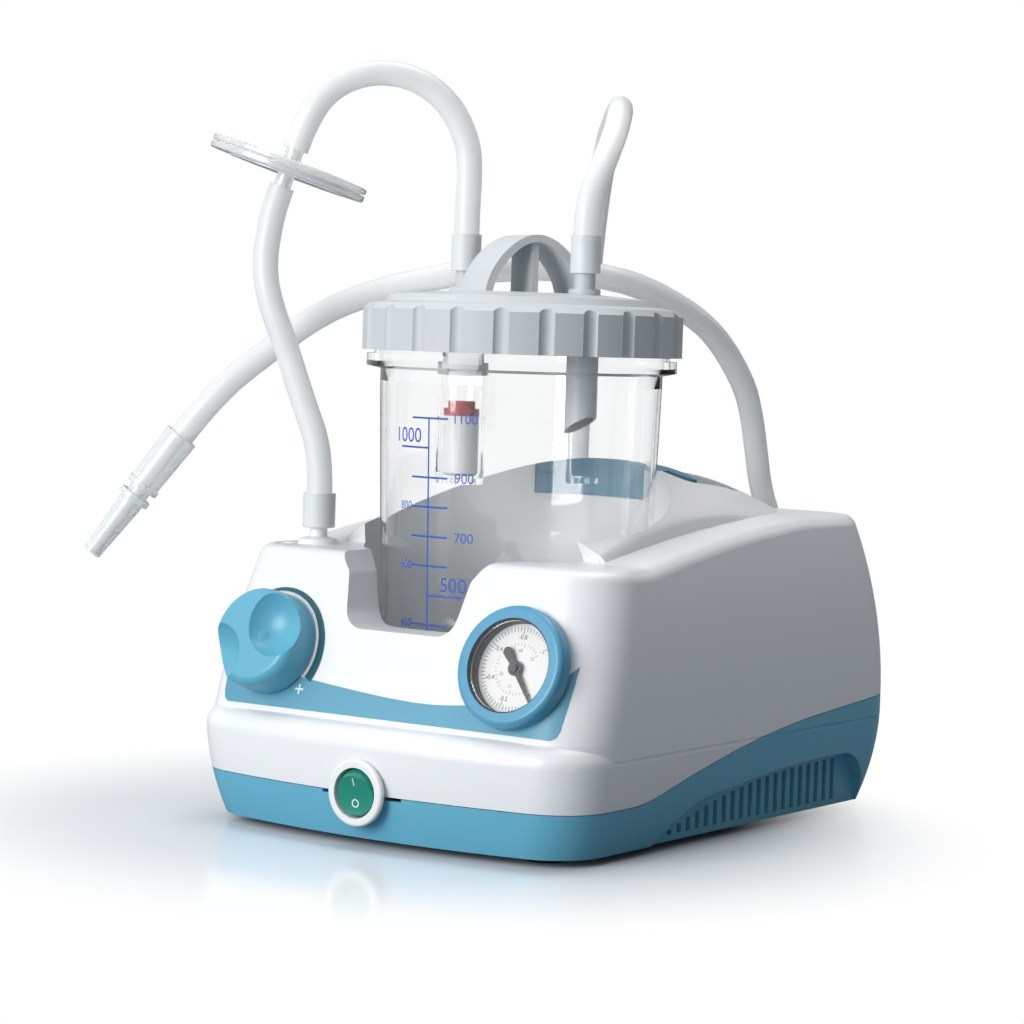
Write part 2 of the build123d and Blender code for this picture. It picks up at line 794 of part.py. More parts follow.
with BuildPart() as pump_piston:
    with BuildSketch(Plane.XY.offset(cylinder_foot + 3)):
        with Locations((cylinder_x, motor_y)):
            Circle(10.2)
    extrude(amount=5)
    with BuildSketch(Plane.XY.offset(motor_z + 10)):
        with Locations((cylinder_x, motor_y)):
            Rectangle(4, 7)
    extrude(amount=cylinder_foot + 3 - motor_z - 10)
    with BuildSketch(across(cylinder_x - 2.5)):
        Circle(13)
        Circle(9, mode=Mode.SUBTRACT)
    extrude(amount=5)
finish(pump_piston.part, "piston_rod")

head_z = cylinder_foot + 15.0
with BuildPart() as valve_plate:
    with BuildSketch(Plane.XY.offset(head_z)):
        with Locations((cylinder_x, motor_y)):
            RectangleRounded(38, 38, 4)
            with GridLocations(12, 1, 2, 1):
                Circle(2, mode=Mode.SUBTRACT)
            with GridLocations(29, 29, 2, 2):
                Circle(1.7, mode=Mode.SUBTRACT)
    extrude(amount=2)
finish(valve_plate.part, "valve_plate")

with BuildPart() as pump_head:
    with BuildSketch(Plane.XY.offset(head_z + 2)):
        with Locations((cylinder_x, motor_y)):
            RectangleRounded(38, 38, 4)
            with GridLocations(29, 29, 2, 2):
                Circle(1.7, mode=Mode.SUBTRACT)
    extrude(amount=10)
    chamfer(pump_head.faces().sort_by(Axis.Z)[-1].outer_wire().edges(), 1)
    for way in (-1, 1):
        with BuildSketch(across(cylinder_x + way * 19, plan_z=head_z + 7)):
            Circle(3)
        extrude(amount=way * 9)
finish(pump_head.part, "pump_head")

with BuildPart() as head_screws:
    with BuildSketch(Plane.XY.offset(head_z + 12)):
        with Locations((cylinder_x, motor_y)):
            with GridLocations(29, 29, 2, 2):
                Circle(2.8)
    extrude(amount=2.2)
    with BuildSketch(Plane.XY.offset(head_z + 12)):
        with Locations((cylinder_x, motor_y)):
            with GridLocations(29, 29, 2, 2):
                Circle(1.6)
    extrude(amount=-12)
finish(head_screws.part, "head_screws")

with BuildPart() as exhaust_muffler:
    with BuildSketch(across(64.1, plan_z=head_z + 7)):
        Circle(8)
    extrude(amount=18)
    fillet(exhaust_muffler.edges().filter_by(GeomType.CIRCLE), 1.2)
finish(exhaust_muffler.part, "exhaust_muffler")

# Jar, lid and float valve
jar_axis = Axis((0, jar_y, 0), (0, 0, 1))


def turned(points):
    """Body of revolution about the jar axis from (radius, height) points"""
    with BuildPart() as body:
        with BuildSketch(Plane.XZ.offset(-jar_y)):
            with BuildLine():
                Polyline(*points, close=True)
            make_face()
        revolve(axis=jar_axis)
    return body.part


def pillar(x, radius, low, high):
    """Round pillar on the line of the two lid ports"""
    with BuildPart() as post:
        with BuildSketch(Plane.XY.offset(low)):
            with Locations((x, jar_y)):
                Circle(radius)
        extrude(amount=high - low)
    return post.part


with BuildPart() as collection_jar:
    add(turned([
        (0, 32), (44, 32), (46, well_floor_z + gap), (51, well_floor_z + gap), (52.6, 30), (55.5, 115),
        (57.3, 178), (57.3, 183), (63, 184.2), (63, 189), (60, 189), (60, 203), (57.8, 203),
        (57.8, 186), (55.1, 178), (53.3, 115), (50.4, 34.5), (0, 34.5),
    ]))
    for height in (193, 198):
        add(turned([(59.5, height), (60.9, height + 0.5), (60.9, height + 1.5), (59.5, height + 2)]))
finish(collection_jar.part, "collection_jar")

lid_radius = 65.0
vacuum_x = -29.5
patient_x = 29.5
with BuildPart() as jar_lid:
    add(turned([
        (61.4, 190.5), (lid_radius, 190.5), (lid_radius, 207), (62.5, 209.5), (56, 210.5),
        (54, 213.2), (30, 215.2), (0, 215.5), (0, 211), (52, 209), (54.5, 204), (61.4, 204),
    ]))
    with BuildSketch(Plane.XY.offset(190)):
        with Locations((0, jar_y)):
            with PolarLocations(67.3, 23):
                Circle(3.9)
    extrude(amount=25, mode=Mode.SUBTRACT)
    grip_plane = Plane(origin=(0, jar_y, 212), x_dir=(cos(radians(60)), sin(radians(60)), 0), z_dir=(0.866, -0.5, 0))
    with BuildSketch(grip_plane.offset(-12.5)):
        with BuildLine():
            Spline((-23, 0), (-18, 15), (0, 26.5), (18, 15), (23, 0))
            Line((23, 0), (20, 0))
            Spline((20, 0), (15, 13.5), (0, 23.5), (-15, 13.5), (-20, 0))
            Line((-20, 0), (-23, 0))
        make_face()
    extrude(amount=25)
    with BuildSketch(grip_plane.offset(-9.8)):
        Rectangle(3, 24.4, align=(Align.CENTER, Align.MIN))
    extrude(amount=19.6)
    for x in (vacuum_x, patient_x):
        add(pillar(x, 6.4, 208, 217))
        add(pillar(x, 4.2, 208, 223.4))
        add(pillar(x, 3.6, 223, 236))
    add(pillar(vacuum_x, 8.6, 186, 212))
    add(pillar(patient_x, 6.4, 200, 212))
    for x in (vacuum_x, patient_x):
        add(pillar(x, 2.3, 180, 240), mode=Mode.SUBTRACT)
finish(jar_lid.part, "jar_lid")

with BuildPart() as lid_gasket:
    add(turned([(56.2, 203.0), (60.4, 203.0), (60.4, 204.0), (56.2, 204.0)]))
finish(lid_gasket.part, "lid_gasket")

with BuildPart() as inlet_spout:
    add(pillar(patient_x, 6.4, 156, 200))
    add(pillar(patient_x, 5.2, 150, 199), mode=Mode.SUBTRACT)
    add(pillar(patient_x, 2.3, 190, 205), mode=Mode.SUBTRACT)
    with BuildSketch(Plane.XZ.offset(-jar_y)):
        with BuildLine():
            Polyline(
                (patient_x - 8, 150), (patient_x - 8, 158.2), (patient_x + 8, 167.6), (patient_x + 8, 150),
                close=True,
            )
        make_face()
    extrude(amount=10, both=True, mode=Mode.SUBTRACT)
finish(inlet_spout.part, "inlet_spout")

with BuildPart() as float_seat:
    add(pillar(vacuum_x, 10.5, 178, 186))
    add(pillar(vacuum_x, 4.5, 177, 187), mode=Mode.SUBTRACT)
    add(pillar(vacuum_x, 8.75, 181, 187), mode=Mode.SUBTRACT)
finish(float_seat.part, "float_seat")

with BuildPart() as float_cage:
    add(pillar(vacuum_x, 10, 136, 178))
    add(pillar(vacuum_x, 8.8, 138.5, 179), mode=Mode.SUBTRACT)
    with BuildSketch(Plane.XY.offset(130)):
        with Locations((vacuum_x, jar_y)):
            with PolarLocations(5.4, 4):
                Circle(1.9)
    extrude(amount=15, mode=Mode.SUBTRACT)
    for turn in (45, 135):
        side_plane = Plane(
            origin=(vacuum_x, jar_y, 152), x_dir=(cos(radians(turn)), sin(radians(turn)), 0),
            z_dir=(sin(radians(turn)), -cos(radians(turn)), 0),
        )
        with BuildSketch(side_plane):
            SlotCenterToCenter(18, 5, rotation=90)
        extrude(amount=15, both=True, mode=Mode.SUBTRACT)
finish(float_cage.part, "float_cage")

float_radius = 7.4
with BuildPart() as float_body:
    add(pillar(vacuum_x, float_radius, 139.3, 164))
    chamfer(float_body.edges().group_by(Axis.Z)[0], 1.2)
    add(pillar(vacuum_x, 5.6, 141, 162), mode=Mode.SUBTRACT)
finish(float_body.part, "float_body")

with BuildPart() as float_cap:
    add(pillar(vacuum_x, float_radius, 164.05, 167))
    add(pillar(vacuum_x, 5.6, 167, 170))
finish(float_cap.part, "float_cap")

# Soft cuffs on the two lid ports and on the hose port
with BuildPart() as lid_cuffs:
    for x in (vacuum_x, patient_x):
        add(pillar(x, 6.1, 223.5, 238.5))
        add(pillar(x, 3.75, 220, 236.2), mode=Mode.SUBTRACT)
finish(lid_cuffs.part, "lid_cuffs")

with BuildPart() as port_cuff:
    with BuildSketch(Plane.XY.offset(117)):
        with Locations(port_at):
            Circle(6.6)
    extrude(amount=14)
    fillet(port_cuff.edges().group_by(Axis.Z)[0], 0.8)
    with BuildSketch(Plane.XY.offset(110)):
        with Locations(port_at):
            Circle(3.75)
    extrude(amount=19.8, mode=Mode.SUBTRACT)
finish(port_cuff.part, "port_cuff")

# Bacterial filter: two shells with barbs round a membrane
filter_centre = (-85.2, -77.3, 262.9)
filter_plane = Plane(origin=filter_centre, x_dir=(0.0, 0.982, -0.190), z_dir=(0.263, 0.183, 0.947))


def filter_half(way):
    """One shell of the filter with its barb, above (1) or below (-1) the membrane"""
    with BuildPart() as shell:
        with BuildSketch(filter_plane.offset(way * 0.3)):
            Circle(33)
        extrude(amount=way * 2.5)
        fillet(shell.faces().sort_by(Axis.Z)[-1 if way > 0 else 0].edges(), 0.8)
        with BuildSketch(filter_plane.offset(way * 2.7)):
            Circle(25)
        extrude(amount=way * 0.5)
        with BuildSketch(filter_plane.offset(way * 3)):
            Circle(3.6)
        extrude(amount=way * 5)
        with BuildSketch(filter_plane.offset(way * 0.3)):
            Circle(27)
        extrude(amount=way * 1.0, mode=Mode.SUBTRACT)
        with BuildSketch(filter_plane):
            Circle(1.8)
        extrude(amount=way * 12, mode=Mode.SUBTRACT)
    return shell.part


upper_shell = filter_half(1)
lower_shell = filter_half(-1)
finish(upper_shell, "filter_upper")
finish(lower_shell, "filter_lower")

with BuildPart() as filter_membrane:
    with BuildSketch(filter_plane.offset(-0.25)):
        Circle(30)
    extrude(amount=0.5)
finish(filter_membrane.part, "filter_membrane")


def hose(points, diameter, name):
    """Plain tube along straight runs joined by arcs tangent to them"""
    runs = [Vector(*end) - Vector(*start) for start, end in zip(points, points[1:])]
    radii = []
    for before, after in zip(runs, runs[1:]):
        half_turn = radians(before.get_angle(after)) / 2
        radii.append(0.45 * min(before.length, after.length) / tan(half_turn))
    with BuildPart() as tube:
        with BuildLine() as route:
            FilletPolyline(*points, radius=radii)
        with BuildSketch(Plane(origin=points[0], z_dir=runs[0])):
            Circle(diameter / 2)
        sweep()
    length = sum(edge.length for edge in route.edges())
    swept = tube.part.volume / (pi * diameter**2 / 4)
    print(f"{name}: {length:.0f} mm, by volume {swept:.0f}, least radius {min(radii) / diameter:.1f} diameters")
    finish(tube.part, name)
    return tube.part


# Hoses outside: lid to filter, filter to hose port, and the patient tube with its connector
hose_diameter = 10.5
filter_way = Vector(*filter_plane.z_dir)
lid_to_filter = [
    (-29.5, -29, 238.5), (-29.5, -29, 252), (-29.1, -28.7, 264), (-30, -29.4, 276.4), (-35.7, -34.4, 291.4),
    (-45.9, -43.3, 301.3), (-58.4, -54.2, 303.9), (-70.5, -64.7, 298.7),
    tuple(Vector(*filter_centre) + filter_way * 25), tuple(Vector(*filter_centre) + filter_way * 8),
]
filter_to_port = [
    tuple(Vector(*filter_centre) - filter_way * 8), tuple(Vector(*filter_centre) - filter_way * 17), (-91, -82, 236), (-91.3, -83.8, 223.5), (-88.8, -83.5, 209.5),
    (-82.5, -80.2, 192), (-74.5, -77, 168), (-67, -74, 148), (-67, -74, 131),
]
patient_route = [
    (29.5, -29, 238.5), (29.5, -29, 251), (30.2, -20.5, 266), (25, -3, 281.5), (14, 17.3, 293.9),
    (-4.7, 43.2, 293.6), (-27.4, 71.3, 286.1), (-50.4, 100.4, 266), (-69.1, 123.9, 237.6),
    (-81.5, 139.7, 200.9), (-87.5, 147.7, 165), (-90, 151, 125), (-88, 152, 85), (-80, 153, 50),
    (-62, 154, 22), (-32, 155, 9), (0, 155, 9), (26, 154, 24), (36, 152, 50), (33, 150, 78),
    (22, 148.5, 105), (13.2, 144.5, 130), (16.2, 133.6, 149.7), (20.5, 121.5, 165), (24.6, 107.5, 179), (25.4, 83.6, 198.4),
    (23.9, 60.7, 209.9), (14.2, 35.7, 220.4), (4.1, 20.1, 223.6), (-10.8, 12.2, 226.4),
    (-31.4, -2.1, 225.2), (-48.6, -14, 222), (-65.6, -25.9, 217.2), (-82.1, -38.6, 210.2),
    (-95.6, -48, 201.3), (-108.5, -58.1, 188.3), (-125.5, -71.9, 170.2), (-136.7, -80.2, 151.1),
]
hose(lid_to_filter, hose_diameter, "filter_hose")
hose(filter_to_port, hose_diameter, "port_hose")
hose(patient_route, hose_diameter, "patient_hose")

tip = Vector(-166, -101.8, 101.3)
hose_end = Vector(*patient_route[-1])
tip_way = (tip - hose_end).normalized()
tip_reach = (tip - hose_end).length
with BuildPart() as hose_connector:
    end_plane = Plane(origin=hose_end, z_dir=tip_way)
    for low, high, start, end in (
        (0, 25, 7.2, 6.4), (25, 27.5, 7.1, 7.1), (27.5, 31, 4.6, 4.6), (31, 33.5, 7.0, 7.0),
        (33.5, tip_reach, 5.4, 3.8),
    ):
        with BuildSketch(end_plane.offset(low)):
            Circle(start)
        with BuildSketch(end_plane.offset(high)):
            Circle(end)
        loft()
    with BuildSketch(end_plane):
        Circle(2)
    extrude(amount=tip_reach + 1, mode=Mode.SUBTRACT)
finish(hose_connector.part, "hose_connector")

# Hoses and wires inside: port to pump, regulator to gauge, switch to motor
inner_hose_diameter = 5.0
wire_diameter = 4.0
pump_route = [
    (-67, -74, 92), (-67, -74, 80), (-70, -64, 66), (-76, -44, 58), (-80, -20, 52), (-80, 6, 48), (-78, 30, 52),
    (-72, 48, 64), (-60, 62, 78), (-42, 76, 88.5), (-16, 84, 91), (8, 84, 91),
]
regulator_stub = panel.from_local_coords((knob_at[0], knob_at[1] - 23, -24))
gauge_stub = panel.from_local_coords((gauge_at[0], gauge_at[1] - 16, -27))
gauge_route = [
    tuple(regulator_stub), tuple(panel.from_local_coords((knob_at[0], knob_at[1] - 36, -24))), (-53, -96, 17), (-37, -88, 11), (-13, -80, 10.5), (13, -80, 10.5),
    (37, -86, 11), (53, -93, 19),
    tuple(panel.from_local_coords((gauge_at[0], gauge_at[1] - 31, -27))), tuple(gauge_stub),
]
wire_route = [
    (4, -91, 18.5), (4, -68, 18.5), (0, -36, 15), (-8, -4, 13), (-12, 20, 20), (-12, 36, 30), (-12, 54, 30),
]
hose(pump_route, inner_hose_diameter, "pump_hose")
hose(gauge_route, inner_hose_diameter, "gauge_hose")
hose(wire_route, wire_diameter, "wiring_loom")
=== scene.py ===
import json
from math import cos, pi, radians, sin

import bpy
from mathutils import Matrix, Vector


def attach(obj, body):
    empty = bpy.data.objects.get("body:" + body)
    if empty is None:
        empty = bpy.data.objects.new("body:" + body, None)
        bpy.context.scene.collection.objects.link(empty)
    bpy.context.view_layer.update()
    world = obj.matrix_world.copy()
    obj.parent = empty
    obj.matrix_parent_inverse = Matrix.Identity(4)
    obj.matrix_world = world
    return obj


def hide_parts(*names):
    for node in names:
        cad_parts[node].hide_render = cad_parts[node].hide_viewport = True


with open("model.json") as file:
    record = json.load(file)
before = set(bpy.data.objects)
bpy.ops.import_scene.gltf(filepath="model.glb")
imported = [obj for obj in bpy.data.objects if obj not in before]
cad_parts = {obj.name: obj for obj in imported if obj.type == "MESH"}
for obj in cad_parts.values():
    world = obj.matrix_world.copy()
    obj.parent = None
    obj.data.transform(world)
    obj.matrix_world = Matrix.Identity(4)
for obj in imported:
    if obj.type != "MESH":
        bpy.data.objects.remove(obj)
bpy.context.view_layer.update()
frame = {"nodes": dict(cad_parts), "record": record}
nodes = frame["nodes"]
scene = bpy.context.scene
MM = 0.001

# Camera matched to the photograph
camera_place = Vector((0.70625, -1.04494, 0.2007))
yaw, pitch, roll = radians(34.9), radians(3.46), radians(1.83)
camera_data = bpy.data.cameras.new("camera")
camera_data.lens = 106.9
camera_data.sensor_width = 36
camera_data.clip_end = 50
camera = bpy.data.objects.new("camera", camera_data)
scene.collection.objects.link(camera)
scene.camera = camera
ahead = Vector((-sin(yaw) * cos(pitch), cos(yaw) * cos(pitch), -sin(pitch)))
level = Vector((cos(yaw), sin(yaw), 0))
upright = level.cross(ahead)
right = cos(roll) * level + sin(roll) * upright
up = -sin(roll) * level + cos(roll) * upright
camera_turn = Matrix((right, up, -ahead)).transposed().to_4x4()
camera.matrix_world = Matrix.Translation(camera_place) @ camera_turn

# Hoses: each one's diameter, length and route in millimetres, the route drawn as a smooth curve
filter_centre = Vector((-85.2, -77.3, 262.9))
filter_way = Vector((0.263, 0.183, 0.947)).normalized()
hose_routes = {
    "filter_hose": (10.5, 137, [
        (-29.5, -29, 238.5), (-29.5, -29, 252), (-29.1, -28.7, 264), (-30, -29.4, 276.4),
        (-35.7, -34.4, 291.4), (-45.9, -43.3, 301.3), (-58.4, -54.2, 303.9), (-70.5, -64.7, 298.7),
        filter_centre + filter_way * 25, filter_centre + filter_way * 8,
    ]),
    "port_hose": (10.5, 129, [
        (-67, -74, 131), (-67, -74, 148), (-74.5, -77, 168), (-82.5, -80.2, 192),
        (-88.8, -83.5, 209.5), (-91.3, -83.8, 223.5), (-91, -82, 236),
        filter_centre - filter_way * 17, filter_centre - filter_way * 8,
    ]),
    "patient_hose": (10.5, 1025, [
        (29.5, -29, 238.5), (29.5, -29, 251), (30.2, -20.5, 266), (25, -3, 281.5), (14, 17.3, 293.9),
        (-4.7, 43.2, 293.6), (-27.4, 71.3, 286.1), (-50.4, 100.4, 266), (-69.1, 123.9, 237.6),
        (-81.5, 139.7, 200.9), (-87.5, 147.7, 165), (-90, 151, 125), (-88, 152, 85), (-80, 153, 50),
        (-62, 154, 22), (-32, 155, 9), (0, 155, 9), (26, 154, 24), (36, 152, 50), (33, 150, 78),
        (22, 148.5, 105), (13.2, 144.5, 130), (16.2, 133.6, 149.7), (20.5, 121.5, 165),
        (24.6, 107.5, 179), (25.4, 83.6, 198.4),
        (23.9, 60.7, 209.9), (14.2, 35.7, 220.4), (4.1, 20.1, 223.6), (-10.8, 12.2, 226.4),
        (-31.4, -2.1, 225.2), (-48.6, -14, 222), (-65.6, -25.9, 217.2), (-82.1, -38.6, 210.2),
        (-95.6, -48, 201.3), (-108.5, -58.1, 188.3), (-125.5, -71.9, 170.2), (-136.7, -80.2, 151.1),
    ]),
}


# A point's own radius also widens the curve's bounding box, so it stays small and the bevel makes it up
point_radius = 0.005


def hose(name, diameter, points):
    """Round hose through the points in millimetres"""
    curve = bpy.data.curves.new(name + "_soft", "CURVE")
    curve.dimensions = "3D"
    curve.bevel_depth = diameter / 2 * MM / point_radius
    curve.bevel_resolution = 5
    curve.resolution_u = 8
    curve.use_fill_caps = True
    spline = curve.splines.new("NURBS")
    spline.points.add(len(points) - 1)
    for point, place in zip(spline.points, points):
        point.co = (*(Vector(place) * MM), 1)
        point.radius = point_radius
    spline.order_u = 3
    spline.use_endpoint_u = True
    piece = bpy.data.objects.new(name + "_soft", curve)
    scene.collection.objects.link(piece)
    return piece


hose_pieces = {}
for name, (diameter, length, points) in hose_routes.items():
    piece = hose(name, diameter, points)
    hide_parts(name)
    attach(piece, "lid")
    hose_pieces[name] = piece


# Materials
def shader(name):
    """Empty material with its shader, and the object coordinates to texture it with"""
    material = bpy.data.materials.new(name)
    material.use_nodes = True
    tree = material.node_tree
    surface = tree.nodes["Principled BSDF"]
    place = tree.nodes.new("ShaderNodeTexCoord").outputs["Object"]
    return material, tree, surface, place


def noise(tree, place, scale, detail=4.0):
    """Noise in object coordinates"""
    texture = tree.nodes.new("ShaderNodeTexNoise")
    texture.inputs["Scale"].default_value = scale
    texture.inputs["Detail"].default_value = detail
    tree.links.new(place, texture.inputs["Vector"])
    return texture.outputs["Fac"]


def vary(tree, amount, low, high, target):
    """Drive a shader value from noise, between two limits"""
    span = tree.nodes.new("ShaderNodeMapRange")
    span.inputs["To Min"].default_value = low
    span.inputs["To Max"].default_value = high
    tree.links.new(amount, span.inputs["Value"])
    tree.links.new(span.outputs["Result"], target)


def tint(tree, amount, first, second, target):
    """Blend two close colours by noise"""
    blend = tree.nodes.new("ShaderNodeMix")
    blend.data_type = "RGBA"
    blend.inputs[6].default_value = (*first, 1)
    blend.inputs[7].default_value = (*second, 1)
    tree.links.new(amount, blend.inputs[0])
    tree.links.new(blend.outputs[2], target)


def grain(tree, height, strength, distance, surface):
    """Fine relief in the surface"""
    bump = tree.nodes.new("ShaderNodeBump")
    bump.inputs["Strength"].default_value = strength
    bump.inputs["Distance"].default_value = distance
    tree.links.new(height, bump.inputs["Height"])
    tree.links.new(bump.outputs["Normal"], surface.inputs["Normal"])


def moulded(name, colour, roughness=0.35, relief=0.12, scale=1800, metallic=0.0, specular=0.5):
    """Moulded or painted surface: a close tint, uneven gloss and a fine grain"""
    material, tree, surface, place = shader(name)
    broad = noise(tree, place, 14, 2)
    fine = noise(tree, place, scale, 3)
    darker = tuple(c * 0.96 for c in colour)
    tint(tree, broad, colour, darker, surface.inputs["Base Color"])
    vary(tree, broad, roughness * 0.9, roughness * 1.12, surface.inputs["Roughness"])
    grain(tree, fine, relief, 0.0001, surface)
    surface.inputs["Metallic"].default_value = metallic
    surface.inputs["Specular IOR Level"].default_value = specular
    return material


def let_light_through(tree, surface, share):
    """Thin clear walls cast hardly any shadow"""
    out = tree.nodes["Material Output"]
    open_air = tree.nodes.new("ShaderNodeBsdfTransparent")
    rays = tree.nodes.new("ShaderNodeLightPath")
    either = tree.nodes.new("ShaderNodeMath")
    either.operation = "MAXIMUM"
    tree.links.new(rays.outputs["Is Shadow Ray"], either.inputs[0])
    tree.links.new(rays.outputs["Is Diffuse Ray"], either.inputs[1])
    part = tree.nodes.new("ShaderNodeMath")
    part.operation = "MULTIPLY"
    part.inputs[1].default_value = share
    pick = tree.nodes.new("ShaderNodeMixShader")
    tree.links.new(either.outputs[0], part.inputs[0])
    tree.links.new(part.outputs[0], pick.inputs[0])
    tree.links.new(surface.outputs[0], pick.inputs[1])
    tree.links.new(open_air.outputs[0], pick.inputs[2])
    tree.links.new(pick.outputs[0], out.inputs["Surface"])


def clear(name, colour, roughness, ior, transmission=1.0, relief=0.02):
    """Clear or translucent moulding; a low index keeps the view through its walls straight"""
    material, tree, surface, place = shader(name)
    broad = noise(tree, place, 30, 2)
    darker = tuple(c * 0.985 for c in colour)
    tint(tree, broad, colour, darker, surface.inputs["Base Color"])
    vary(tree, broad, roughness * 0.8, roughness * 1.3, surface.inputs["Roughness"])
    grain(tree, noise(tree, place, 90, 2), relief, 0.0002, surface)
    surface.inputs["Transmission Weight"].default_value = transmission
    surface.inputs["IOR"].default_value = ior
    surface.inputs["Coat Weight"].default_value = 0.8
    surface.inputs["Coat Roughness"].default_value = roughness
    let_light_through(tree, surface, 0.97 * transmission)
    return material


def silicone(name, colour, transmission, roughness, relief=0.05):
    """Milky silicone rubber: part of the light passes and part scatters inside"""
    material, tree, surface, place = shader(name)
    broad = noise(tree, place, 40, 3)
    darker = tuple(c * 0.95 for c in colour)
    tint(tree, broad, colour, darker, surface.inputs["Base Color"])
    vary(tree, broad, roughness * 0.85, roughness * 1.2, surface.inputs["Roughness"])
    grain(tree, noise(tree, place, 700, 3), relief, 0.0001, surface)
    surface.inputs["Transmission Weight"].default_value = transmission
    surface.inputs["IOR"].default_value = 1.41
    surface.inputs["Subsurface Weight"].default_value = 0.25
    surface.inputs["Subsurface Radius"].default_value = (0.004, 0.004, 0.004)
    let_light_through(tree, surface, 0.5)
    return material


paints = {
    "housing_white": moulded("housing_white", (0.80, 0.81, 0.82), 0.32, 0.08),
    "housing_blue": moulded("housing_blue", (0.125, 0.42, 0.58), 0.34, 0.10),
    "handle_blue": moulded("handle_blue", (0.07, 0.23, 0.34), 0.42, 0.15),
    "rubber_black": moulded("rubber_black", (0.02, 0.02, 0.02), 0.7, 0.3),
    "steel": moulded("steel", (0.55, 0.55, 0.55), 0.3, 0.1, 900, 1.0),
    "knob_blue": moulded("knob_blue", (0.11, 0.40, 0.55), 0.33, 0.10),
    "brass": moulded("brass", (0.65, 0.45, 0.18), 0.3, 0.1, 900, 1.0),
    "bezel_blue": moulded("bezel_blue", (0.08, 0.31, 0.48), 0.30, 0.08),
    "black_plastic": moulded("black_plastic", (0.02, 0.02, 0.022), 0.5, 0.2),
    "dial_white": moulded("dial_white", (0.80, 0.80, 0.78), 0.5, 0.03),
    "clear_glass": clear("clear_glass", (0.97, 0.98, 0.98), 0.02, 1.1),
    "pointer_black": moulded("pointer_black", (0.012, 0.012, 0.012), 0.35, 0.05),
    "collar_white": moulded("collar_white", (0.80, 0.82, 0.81), 0.28, 0.05),
    "rocker_green": moulded("rocker_green", (0.01, 0.24, 0.17), 0.22, 0.05, specular=0.7),
    "zinc_plate": moulded("zinc_plate", (0.5, 0.5, 0.48), 0.35, 0.1, 700, 1.0),
    "steel_laminations": moulded("steel_laminations", (0.25, 0.26, 0.28), 0.45, 0.3, 500, 1.0),
    "copper": moulded("copper", (0.5, 0.18, 0.07), 0.3, 0.4, 500, 1.0),
    "cast_alloy": moulded("cast_alloy", (0.55, 0.56, 0.57), 0.5, 0.4, 600, 1.0),
    "fan_plastic": moulded("fan_plastic", (0.04, 0.04, 0.04), 0.45, 0.1),
    "muffler_plastic": moulded("muffler_plastic", (0.65, 0.65, 0.6), 0.5, 0.2),
    "clear_plastic": clear("clear_plastic", (0.985, 0.99, 0.99), 0.02, 1.12),
    "lid_grey": moulded("lid_grey", (0.56, 0.585, 0.60), 0.42, 0.08, specular=0.35),
    "rubber_grey": moulded("rubber_grey", (0.3, 0.3, 0.3), 0.6, 0.2),
    "float_white": moulded("float_white", (0.82, 0.82, 0.80), 0.4, 0.1),
    "float_red": moulded("float_red", (0.42, 0.03, 0.03), 0.45, 0.1),
    "cuff_silicone": silicone("cuff_silicone", (0.74, 0.77, 0.775), 0.1, 0.35),
    "filter_clear": clear("filter_clear", (0.93, 0.94, 0.95), 0.22, 1.45, 0.6, 0.005),
    "membrane_white": moulded("membrane_white", (0.8, 0.8, 0.78), 0.8, 0.3),
    "silicone": silicone("silicone", (0.90, 0.905, 0.90), 0.35, 0.32),
    "connector_clear": silicone("connector_clear", (0.84, 0.86, 0.865), 0.4, 0.2),
    "silicone_inner": silicone("silicone_inner", (0.88, 0.88, 0.86), 0.3, 0.4),
    "wire_black": moulded("wire_black", (0.02, 0.02, 0.02), 0.5, 0.2),
}
print_blue = moulded("print_blue", (0.02, 0.09, 0.45), 0.45, 0.02)
print_teal = moulded("print_teal", (0.0, 0.085, 0.11), 0.4, 0.02)
band_blue = moulded("band_blue", (0.095, 0.32, 0.45), 0.4, 0.04)
print_black = moulded("print_black", (0.015, 0.015, 0.018), 0.5, 0.02)
print_pink = moulded("print_pink", (0.62, 0.10, 0.14), 0.5, 0.02)
print_white = moulded("print_white", (0.85, 0.87, 0.86), 0.4, 0.02)

slot_of = {entry["node"]: entry["material_slot"] for entry in frame["record"]["subparts"]}
for name, node in nodes.items():
    node.data.materials.clear()
    node.data.materials.append(paints[slot_of[name]])
for name, piece in hose_pieces.items():
    piece.data.materials.append(paints["silicone"])


# Printed and small pieces, worked in the plane of the panel and then laid on the surface
panel_tilt = radians(16.9)
panel_origin = Vector((0, -118.1, 46.5))
panel_turn = Matrix((
    (1, 0, 0), (0, sin(panel_tilt), -cos(panel_tilt)), (0, cos(panel_tilt), sin(panel_tilt)),
))
knob_at = (-59.0, 27.0)
gauge_at = (59.0, 27.5)
jar_y = -29.0


def on_panel(x, y, height):
    """Point of the panel or above it, in metres"""
    return (panel_origin + panel_turn @ Vector((x, y, height))) * MM


def only(piece):
    """Make one object the active and selected one"""
    bpy.ops.object.select_all(action="DESELECT")
    piece.select_set(True)
    bpy.context.view_layer.objects.active = piece


def done(piece, name, material, body="main", smooth=True):
    """Name, finish and attach a new piece"""
    only(piece)
    bpy.ops.object.transform_apply(location=True, rotation=True, scale=True)
    if smooth:
        bpy.ops.object.shade_smooth_by_angle(angle=radians(35))
    piece.name = name
    piece.data.name = name
    piece.data.materials.clear()
    piece.data.materials.append(material)
    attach(piece, body)
    return piece


def patch(columns, rows, place):
    """Grid whose corners and inner points are set out by place(u, v), both from 0 to 1"""
    bpy.ops.mesh.primitive_grid_add(x_subdivisions=columns, y_subdivisions=rows, size=1)
    piece = bpy.context.object
    for vertex in piece.data.vertices:
        vertex.co = place(vertex.co.x + 0.5, vertex.co.y + 0.5)
    return piece


